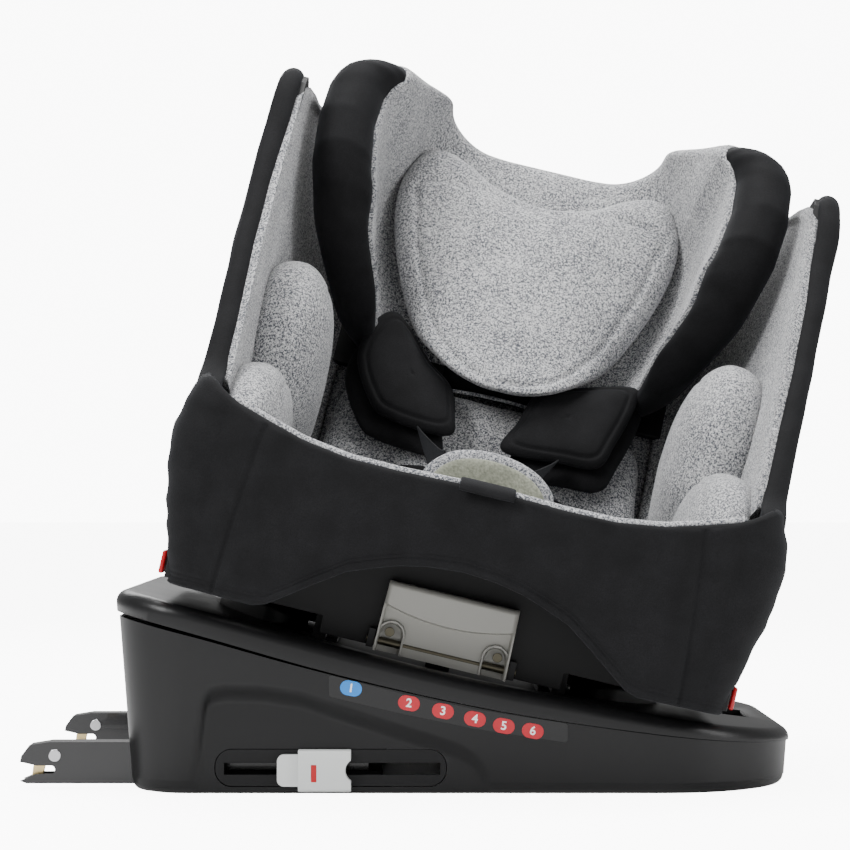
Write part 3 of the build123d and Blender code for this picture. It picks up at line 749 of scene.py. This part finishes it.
# how far out the inner face lies at each depth in front of the back, and how far forward it reaches
BOWL = [(0, 128), (8, 138), (24, 151), (50, 164), (76, 173), (110, 181), (150, 186.5), (190, 190.5),
        (215, 193.5), (240, 196)]
LINING_FRONT = [(-80, 244), (-60, 237), (15, 235), (175, 236), (205, 237), (219, 233), (233, 217),
                (250, 188), (262, 162), (282, 130), (298, 98), (309, 70), (318, 40)]


def corner_line(points, radius, count=300):
    """The points as a line with rounded corners, evenly spaced and closed."""
    dense = []
    for i, point in enumerate(points):
        p, a, b = Vector(point), Vector(points[i - 1]), Vector(points[(i + 1) % len(points)])
        cut = min(radius, (a - p).length * 0.45, (b - p).length * 0.45)
        enter, leave = p + (a - p).normalized() * cut, p + (b - p).normalized() * cut
        for k in range(7):
            f = k / 6
            dense.append(enter.lerp(p, f).lerp(p.lerp(leave, f), f))
    dense.append(dense[0].copy())
    run = [0.0]
    for p, q in zip(dense, dense[1:]):
        run.append(run[-1] + (q - p).length)
    out, j = [], 0
    for i in range(count + 1):
        goal = run[-1] * i / count
        while j < len(dense) - 2 and run[j + 1] < goal:
            j += 1
        out.append(dense[j].lerp(dense[j + 1], (goal - run[j]) / (run[j + 1] - run[j] or 1e-9)))
    return out


def wing(side):
    """A padded side of the bucket: black knit outside and round the edge, grey melange inside."""
    sign = -1 if side == "right" else 1
    line = corner_line([(0, y, z) for y, z in WING_EDGE], 14, 360)
    middle = Vector((0, -30, 215))
    out_x, in_x, round_r = 217.5, 199.8, 8.5
    rows = 84

    def shape(s, t):
        row = round(t * rows)
        edge = on_line(line, s)
        reach = (edge - middle).length
        if row <= 30:
            k, x = (row / 30) ** 0.8 * (reach - round_r) / reach, out_x
            x += 1.2 * noise.noise(Vector((edge.y * k * 0.02, edge.z * k * 0.02, 5 * sign)))
        elif row <= 42:
            a = (row - 30) / 12 * pi
            k = (reach - round_r + round_r * sin(a)) / reach
            x = lerp(out_x, in_x, (1 - cos(a)) / 2)
        else:
            k, x = (1 - (row - 42) / (rows - 42)) * (reach - round_r) / reach, in_x
        spot = middle.lerp(edge, k)
        x += read(WING_SWELL, spot.z)
        if spot.z > 200:
            x += 1.0 * noise.noise(Vector((spot.z * 0.035, 2.0, sign)))
        return Vector((x * sign, spot.y, spot.z)) / 1000

    body = keep(f"wing_cover_{side}_knit", skin(360, rows, shape), SEAT, "seat", BLACK_KNIT)
    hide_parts(f"wing_cover_{side}")

    def lining(s, t):
        """The inner face, a shallow bowl from the front edge to behind the headrest."""
        height = lerp(-70, 318, t)
        rim = min(t, 1 - t)
        thick = 13.0 * (sin(pi * rim * 14) if rim < 1 / 28 else 1) ** 0.5
        k = 1 - abs(s * 2 - 1)
        deep = lerp(read(LINING_FRONT, height), 4, k)
        edge_out = read(WING_SWELL, at_back(deep, height).z)
        x = read(BOWL, deep) + edge_out * ease(deep / 200)
        thin = thick * min(1, max(0, sin(pi * k) * 7)) ** 0.5
        if s > 0.5:
            x += thin
        else:
            ripple = noise.noise(Vector((deep, height, 7 * sign)) * 0.016)
            x -= 1.5 * max(0, 1 - abs(k - 0.06) / 0.06) - 0.9 * ripple
        spot = at_back(deep, height)
        return Vector((x * sign, spot.y, spot.z)) / 1000

    face = keep(f"wing_lining_{side}", skin(180, 150, lining), SEAT, "seat", GREY)


def at_back(depth, height):
    """A spot in the seat's frame, in millimetres, from its depth and height on the backrest."""
    y = height * sin(BACK) - depth * cos(BACK)
    z = height * cos(BACK) + depth * sin(BACK)
    return BIGHT * 1000 + Vector((0, y, z))


# the headrest at each height: how far forward its wings reach, half its width, its wings' thickness
WING_DEPTH = [(112, 92), (122, 116), (135, 146), (150, 170), (170, 194), (195, 211), (225, 217),
              (260, 217), (275, 215), (285, 208), (296, 194), (310, 173), (325, 149), (340, 120), (354, 88)]
HALF_OUT = [(112, 148), (122, 157), (140, 168), (160, 178), (190, 188), (225, 191), (255, 190),
            (268, 187), (280, 181), (290, 174), (305, 163), (325, 148), (354, 122)]
TIP_THICK = [(112, 38), (137, 42), (160, 45), (180, 49), (225, 45), (261, 45), (283, 48), (300, 42),
             (325, 32), (354, 24)]
SPLAY, CORNER, REST_BACK = 0.19, 52.0, 24.0
# how far, as an angle, the lining turns round the front edge at each height
LINING_WRAP = [(262, 0), (280, 0.25), (292, 0.8), (302, 1.6), (314, 2.5)]


def head_band(height, go):
    """Centre of the headrest's U from one tip (0) to the other (1), its outward direction and thickness."""
    depth, thick = read(WING_DEPTH, height), read(TIP_THICK, height)
    half = read(HALF_OUT, height) - thick / 2
    tip = depth - thick / 2
    legs = max(1.0, tip - (REST_BACK + CORNER))
    back = 2 * (half - CORNER)
    run = abs(go - 0.5) * (2 * legs + back + pi * CORNER)
    if run < back / 2:
        spot, out = Vector((run, REST_BACK, 0)), Vector((0, -1, 0))
    elif run < back / 2 + CORNER * pi / 2:
        a = (run - back / 2) / CORNER
        spot = Vector((half - CORNER + CORNER * sin(a), REST_BACK + CORNER - CORNER * cos(a), 0))
        out = Vector((sin(a), -cos(a), 0))
    else:
        spot = Vector((half, REST_BACK + CORNER + run - back / 2 - CORNER * pi / 2, 0))
        out = Vector((1, 0, 0))
    if go < 0.5:
        spot.x, out.x = -spot.x, -out.x
    return spot, out, lerp(26, thick, ease(spot.y / max(60, tip))), tip


def splayed(point, tip, height):
    """Wings that open towards the front, and a top edge that dips behind the head."""
    point.x *= 1 - SPLAY * max(0, 1 - point.y / max(tip, 150))
    dip = ease((abs(point.x) - 30) / 80) * ease((150 - point.y) / 80)
    point.z = height + (9 * dip - 3) * max(0, (height - 240) / 114) ** 2
    return point / 1000


def headrest():
    """The U-shaped headrest: a black body and a grey lining that turns over its top."""
    low, high = 116.0, 354.0
    side_part = 0.44

    def shape(s, t):
        if t < 0.10:
            a = t / 0.10 * pi / 2
            height, share = low + 16 * (1 - cos(a)), sin(a)
        elif t > 0.92:
            a = (1 - t) / 0.08 * pi / 2
            height, share = high - 11 * (1 - cos(a)), sin(a)
        else:
            height, share = lerp(low + 16, high - 11, (t - 0.10) / 0.82), 1.0
        if s < side_part:
            spot, out, thick, tip = head_band(height, s / side_part)
            point = spot + out * thick / 2 * share
        elif s < 0.5:
            a = (s - side_part) / (0.5 - side_part) * pi
            spot, out, thick, tip = head_band(height, 1)
            point = spot + (out * cos(a) + Vector((0, 1, 0)) * sin(a)) * thick / 2 * share
        elif s < 0.5 + side_part:
            spot, out, thick, tip = head_band(height, 1 - (s - 0.5) / side_part)
            point = spot - out * thick / 2 * share
        else:
            a = (s - 0.5 - side_part) / (0.5 - side_part) * pi
            spot, out, thick, tip = head_band(height, 0)
            point = spot + (-out * cos(a) + Vector((0, 1, 0)) * sin(a)) * thick / 2 * share
        point.x += 0.8 * noise.noise(Vector((point.x, point.y, height)) * 0.03)
        return splayed(point, tip, height)

    body = keep("headrest_knit", skin(220, 110, shape), ON_BACK, "headrest", BLACK_KNIT)
    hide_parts("headrest_cover")

    def lining(s, t):
        """Grey inner face, proud of the black all round its edge."""
        over = max(0, (t - 0.86) / 0.14)
        a = lerp(pi / 2, -0.5, over)
        height = high - 11 * (1 - cos(a)) if over else lerp(low + 10, high - 11, t / 0.86)
        ends = min(1, max(0, sin(pi * min(t, 1 - t)) * 12)) ** 0.5
        q = 1 - abs(s * 2 - 1)
        sides = min(1, max(0, sin(pi * q)) * 14) ** 0.5
        border = 0.07
        bend = read(LINING_WRAP, height) * max(0, 1 - min(q, 1 - q) / border)
        spot, out, thick, tip = head_band(height, min(1, max(0, (q - border) / (1 - 2 * border))))
        lift = lerp(-2.0, 3.2, ends * sides) if s < 0.5 else -2.0 - 4.0 * ends * sides
        inward = Vector((0, 1, 0)) * sin(bend) - out * cos(bend)
        point = spot + inward * (thick / 2 + lift) * sin(a)
        return splayed(point, tip, height + lift * cos(a) * (1 if over else 0))

    face = keep("headrest_lining", skin(260, 100, lining), ON_BACK, "headrest", GREY)


HEART_HALF = [(22, 85), (48, 97), (75, 127), (94, 165), (111, 212), (119, 252), (118, 285), (106, 312),
              (88, 317), (66, 306), (42, 291)]
HEART = [(0, 83), *HEART_HALF, (0, 281), *[(-x, z) for x, z in reversed(HEART_HALF)]]


def heart_tuck(z):
    """The cushion's lower end stands clear of the back."""
    return 20 * ease((150 - z) / 60)


def heart_dents(x, z):
    """The seam that runs a finger's width inside the head cushion's edge."""
    best = min(hypot(x - p.x, z - p.z) for p in HEART_SEAM)
    return 3.0 * crease(best, 2.2)


HEART_SEAM = even([Vector((x * 0.84, 0, 172 + (z - 172) * 0.90 if z > 172 else 172 + (z - 172) * 0.93))
                   for x, z in HEART if z < 290], closed=False, count=160)


def cushions():
    """The heart-shaped head cushion, the newborn insert, the back pad and the side pads."""
    heart = pillow(HEART, (0, 200), 48, 94, 3.2, dents=heart_dents, around=200, rows=80, lift=heart_tuck)
    head = keep("head_pad", heart, ON_BACK, "headrest", GREY)
    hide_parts("head_cushion")

    outline = [(-124, 8), (-60, 3), (60, 3), (124, 8), (128, 55), (118, 98), (70, 106), (30, 108), (0, 107),
               (-30, 108), (-70, 106), (-118, 98), (-128, 55)]
    insert = keep("insert_pad", pillow(outline, (0, 56), 2, 40, 5.0), ON_BACK, "seat", GREY)
    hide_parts("newborn_insert")

    outline = [(-148, 4), (0, 2), (148, 4), (149, 150), (148, 294), (0, 296), (-148, 294), (-149, 150)]
    # the back pad takes the painted-shade copy of the grey melange
    back = keep("back_pad", pillow(outline, (0, 150), -30, 0, 9.0), ON_BACK, "seat", GREY_SHADED)
    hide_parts("back_cushion")

    for sign, side in ((-1, "right"), (1, "left")):
        pad = keep(f"side_pad_{side}", bolster(sign), SEAT, "seat", GREY)
        if sign < 0:
            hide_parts("side_bolsters")
        thigh = keep(f"thigh_pad_{side}", thigh_pad(sign), SEAT, "seat", GREY)
        if sign < 0:
            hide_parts("thigh_bolsters")


def on_side(bm, sign):
    """Turns a pad made facing forwards so that it faces in from a side wall."""
    for vert in bm.verts:
        vert.co = Vector((vert.co.y * sign, vert.co.x, vert.co.z))
    return bm


def bolster(sign):
    """Torso bolster: an upright pad on the side wall, crowned inwards, with a round top."""
    outline = [at_back(d, h) for d, h in (
        (-8, -8), (60, -22), (150, -28), (182, 8), (193, 48), (188, 80), (166, 103), (130, 117), (84, 119),
        (40, 110), (2, 98), (-8, 50))]
    flat = [(p.y, p.z) for p in outline]
    centre = at_back(94, 45)
    bm = pillow(flat, (centre.y, centre.z), 199, 136, 2.6, 10.0, around=140, rows=70, seam=(0.80, 1.6))
    return on_side(bm, sign)


def thigh_pad(sign):
    """Thigh bolster: a long low pad on the side wall, behind the front cover."""
    outline = [(-218, 104), (-219, 140), (-205, 163), (-170, 184), (-120, 190), (-60, 184), (0, 170),
               (36, 150), (40, 90), (0, 80), (-100, 92)]
    bm = pillow(outline, (-95, 135), 199, 150, 2.6, 10.0, around=140, rows=70, seam=(0.80, 1.6))
    return on_side(bm, sign)


def seat_pad():
    """The seat cushion, sloping down towards the backrest."""
    line = [(-149, -219), (0, -244), (149, -219), (150, -90), (149, 56), (0, 60), (-149, 56), (-150, -90)]
    bm = pillow(line, (0, -80), 0, 30, 9.0, 9.0, around=160, rows=50)
    for vert in bm.verts:
        x, depth, y = vert.co * 1000
        z = 97 - (y - 40) * 0.1347 - 30 + depth
        vert.co = Vector((x, y, z)) / 1000
    pad = keep("seat_pad", bm, SEAT, "seat", GREY)
    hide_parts("seat_cushion")


def chest_pads():
    """Two layers of padding on each shoulder strap."""
    shapes = {
        "right": ([(-118, 96), (-113, 132), (-100, 148), (-86, 140), (-60, 108), (-38, 88), (-30, 62),
                   (-29, 46), (-46, 42), (-80, 46), (-98, 56)], (-72, 88)),
        "left": ([(12, 42), (20, 72), (30, 102), (60, 116), (106, 130), (110, 112), (100, 72), (90, 47),
                  (60, 43)], (58, 82)),
    }
    for side, (outline, centre) in shapes.items():
        sign = -1 if side == "right" else 1
        *under, middle = [(x + 6 * sign, z - 12) for x, z in (*outline, centre)]
        lower = pillow(under, middle, 44, 57, 4.0)
        upper = pillow(outline, centre, 57.5, 74, 3.4, rows=64, seam=(0.84, 1.3))
        low = keep(f"chest_pad_under_{side}", lower, ON_BACK, "headrest", BLACK_KNIT)
        top = keep(f"chest_pad_{side}", upper, ON_BACK, "headrest", BLACK_KNIT)
        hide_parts(f"shoulder_pad_{side}")


def crotch_pad():
    """The half-round pad behind the buckle: a bound edge with mesh inside it."""
    outline = [(-40, 126), (52, 126), (54, 135), (49, 146), (36, 156), (17, 162), (-5, 163), (-26, 158),
               (-40, 147), (-45, 136)]
    binding = pillow(outline, (5, 130), -197, -209, 7.0, around=160, rows=40)
    # the binding takes the painted-shade copy of the grey melange
    pad = keep("crotch_pad_binding", binding, SEAT, "seat", GREY_SHADED)
    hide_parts("crotch_pad")
    inner = [(lerp(5, x, 0.86), 127 + (z - 127) * 0.83) for x, z in outline]
    face = keep("crotch_pad_mesh", pillow(inner, (5, 130), -206, -210.5, 9.0), SEAT, "seat", LINING)


def piping():
    """Corded seams: the insert's top edge, and the pad edge that shows above the front cover."""
    tops = [(x, 36.5 - 0.0004 * x * x, 103.5 + 3.5 * cos(x / 36)) for x in range(-62, 63, 4)]
    # the piping takes the painted-shade copy of the grey melange
    keep("insert_piping", tube(tops, 1.5), ON_BACK, "seat", GREY_SHADED)
    edge = []
    for k in range(-24, 25):
        run = k * 8.0
        spot, out = cover_plan(run)
        inside = spot - out * 6.0
        edge.append((inside.x, inside.y, read(COVER_TOP, abs(run)) + 0.4))
    keep("seat_pad_edge", tube(edge, 3.0, around=16, along=160), SEAT, "seat", GREY)


def handle():
    """The recline handle: a rounded grip over a recessed panel, with two screw pockets at its feet."""
    def face(x, z):
        side = abs(x) / 50
        grip_low = 37.5 - 7.5 * (1 - side ** 2)
        round_top = 3.5 * max(0, (z - 50.5) / 4) ** 2
        round_end = 3.0 * max(0, (side - 0.93) / 0.07) ** 2
        grip = 173.0 - 0.09 * (52 - z) - round_top - round_end - 1.6 * side ** 2
        panel = 161.5 + 1.2 * max(0, (10 - z) / 10)
        wall = 167.5 - 4.0 * max(0, (z - 34) / 12)
        share = ease((z - grip_low + 0.8) / 1.6)
        depth = lerp(panel, grip, share)
        if share < 1 and side > 0.945:
            depth = max(depth, lerp(panel, wall, ease((side - 0.945) / 0.03)))
        away = hypot(abs(x) - 39.5, max(0, z - 15.5))
        if away < 8.6:
            pocket = 156.0
            depth = lerp(pocket, depth, ease((away - 7.4) / 1.2))
        elif away < 10.4 and share < 0.5:
            depth = max(depth, 165.0)
        return depth

    bm = bmesh.new()
    bmesh.ops.create_grid(bm, x_segments=200, y_segments=110, size=1)
    for vert in bm.verts:
        x, z = vert.co.x * 50, lerp(1.5, 54.5, (vert.co.y + 1) / 2)
        taper = 1 + 0.02 * (20 - z) / 50
        vert.co = Vector((x * taper, -face(x, z), z)) / 1000
    border = [edge for edge in bm.edges if edge.is_boundary]
    ring = bmesh.ops.extrude_edge_only(bm, edges=border)["geom"]
    for vert in ring:
        if isinstance(vert, bmesh.types.BMVert):
            vert.co.y = -0.1538
    bmesh.ops.holes_fill(bm, edges=[edge for edge in bm.edges if edge.is_boundary])
    bmesh.ops.recalc_face_normals(bm, faces=bm.faces)
    grip = keep("recline_grip", bm, SEAT, "handle", HANDLE, sharp=35)
    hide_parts("recline_handle")


def carriage():
    """Dark curved cheeks on the turntable, under the sides of the bucket."""
    for sign, side in ((-1, "right"), (1, "left")):
        def shape(s, t):
            turn = radians(lerp(-44, 44, t))
            a = s * 2 * pi
            ends = min(1, max(0, sin(pi * t)) * 8) ** 0.5
            r = 156 + 21 * max(-1, min(1, 1.25 * cos(a))) * ends
            z = 5.5 + 9.0 * max(-1, min(1, 1.25 * sin(a))) * ends
            return Vector((sign * r * cos(turn), r * sin(turn), z)) / 1000

        keep(f"turntable_cheek_{side}", skin(48, 90, shape), SEAT, "turntable", DARK)


def label_figures():
    """White figures, one to six, printed on the coloured discs of the leaning side wall."""
    lean = atan2(LEAN, 1)
    across, up = Vector((1, 0, 0)), Vector((0, -sin(lean), cos(lean)))
    normal = across.cross(up)
    discs = [(-83.9, 78.5), (-41.7, 67.6), (-16.9, 61.8), (6.4, 56.0), (27.5, 50.9), (48.6, 47.2)]
    for number, (x, z) in enumerate(discs, start=1):
        text = bpy.data.curves.new("figure", "FONT")
        text.body = str(number)
        text.size = 0.0088
        text.offset = 0.00018
        text.extrude = 0.00008
        text.align_x = "CENTER"
        text.align_y = "CENTER"
        holder = bpy.data.objects.new("figure", text)
        bpy.context.collection.objects.link(holder)
        bpy.context.view_layer.update()
        bm = bmesh.new()
        bm.from_mesh(holder.to_mesh())
        bpy.data.objects.remove(holder)
        turn = radians(-8)
        wall = Vector((0, -190 + tan(lean), 0)) + across * x + up * z
        for vert in bm.verts:
            a, b, c = vert.co * 1000
            a, b = a * cos(turn) - b * sin(turn), a * sin(turn) + b * cos(turn)
            vert.co = (wall + across * a + up * b + normal * (0.72 + c)) / 1000
        bmesh.ops.recalc_face_normals(bm, faces=bm.faces)
        keep(f"label_figure_{number}", bm, HERE, "base", FIGURE, smooth=False)


def harness():
    """Straps, tongues and buckle, and the adjuster's flap over the front edge."""
    across = (1, 0, 0)
    for sign, side in ((-1, "right"), (1, "left")):
        to_buckle = [(50, 8, 158.5), (42, -50, 152), (30, -110, 144), (24, -148, 142.5)]
        to_hip = [(36, -166, 127), (70, -132, 122.5), (110, -80, 116), (140, -40, 111)]
        lower = ribbon([(sign * x, y, z) for x, y, z in to_buckle], 34, 1.5, (sign * 0.5, 0, 0.87))
        web = keep(f"lower_webbing_{side}", lower, SEAT, "seat", WEB)
        hip = ribbon([(sign * x, y, z) for x, y, z in to_hip], 34, 1.6, (0.75, 0.66 * sign, 0))
        belt = keep(f"hip_webbing_{side}", hip, SEAT, "seat", WEB)
        down = [(sign * 66, 42.6, 124), (sign * 66, 42.6, 90), (sign * 66, 43, 50)]
        upper = ribbon(down, 36, 1.5, across)
        shoulder = keep(f"shoulder_webbing_{side}", upper, ON_BACK, "headrest", WEB)
        if sign < 0:
            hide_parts("harness_webbing")
            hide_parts("hip_straps")
            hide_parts("shoulder_straps")
    softened("harness_tongues", 0.6, DARK, "seat")
    softened("buckle", 1.5, DARK, "seat", 3)
    softened("buckle_button", 1.0, RED_PLASTIC, "buckle_button", 3)
    softened("crotch_strap", 0.4, WEB, "seat")
    over_edge = [(3, -228, 137.5), (3, -244, 139.4), (3, -258, 139.6), (3, -267, 136.5), (3, -269.6, 131)]
    tab = ribbon(over_edge, 40, 2.6, across, around=24)
    flap = keep("adjuster_flap", tab, SEAT, "seat", BLACK_KNIT)
    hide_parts("adjuster_tab")


def bucket():
    """The seat's hard shell, its runners and apron, the headrest's frame and the swivel buttons."""
    for node, width, material in (
        ("bucket_shell", 0.8, DARK), ("under_shell", 0.8, DARK), ("recline_runners", 0.6, DARK),
        ("front_apron", 0.8, DARK), ("handle_pin", 0.3, SCREW),
    ):
        softened(node, width, material, "seat", flat=node != "under_shell")
    softened("back_cover", 1.2, BLACK_KNIT, "seat")
    softened("headrest_shell", 1.0, DARK, "headrest")
    softened("headrest_carrier", 0.8, STEEL, "headrest")
    softened("handle_screws", 0.4, SCREW, "handle")
    for sign, side in ((-1, "right"), (1, "left")):
        bm = box_mesh((0.0036, 0.027, 0.017), (sign * 0.2136, -0.185, 0.030), 0.0015)
        cap = keep(f"swivel_button_cap_{side}", bm, SEAT, f"swivel_button_{side}", RED_PLASTIC)
        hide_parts(f"swivel_button_{side}")


camera()
studio()
base_shell()
base_details()
latch_arms()
turntable()
bucket()
front_cover()
wing("right")
wing("left")
headrest()
cushions()
seat_pad()
chest_pads()
crotch_pad()
piping()
handle()
carriage()
label_figures()
harness()
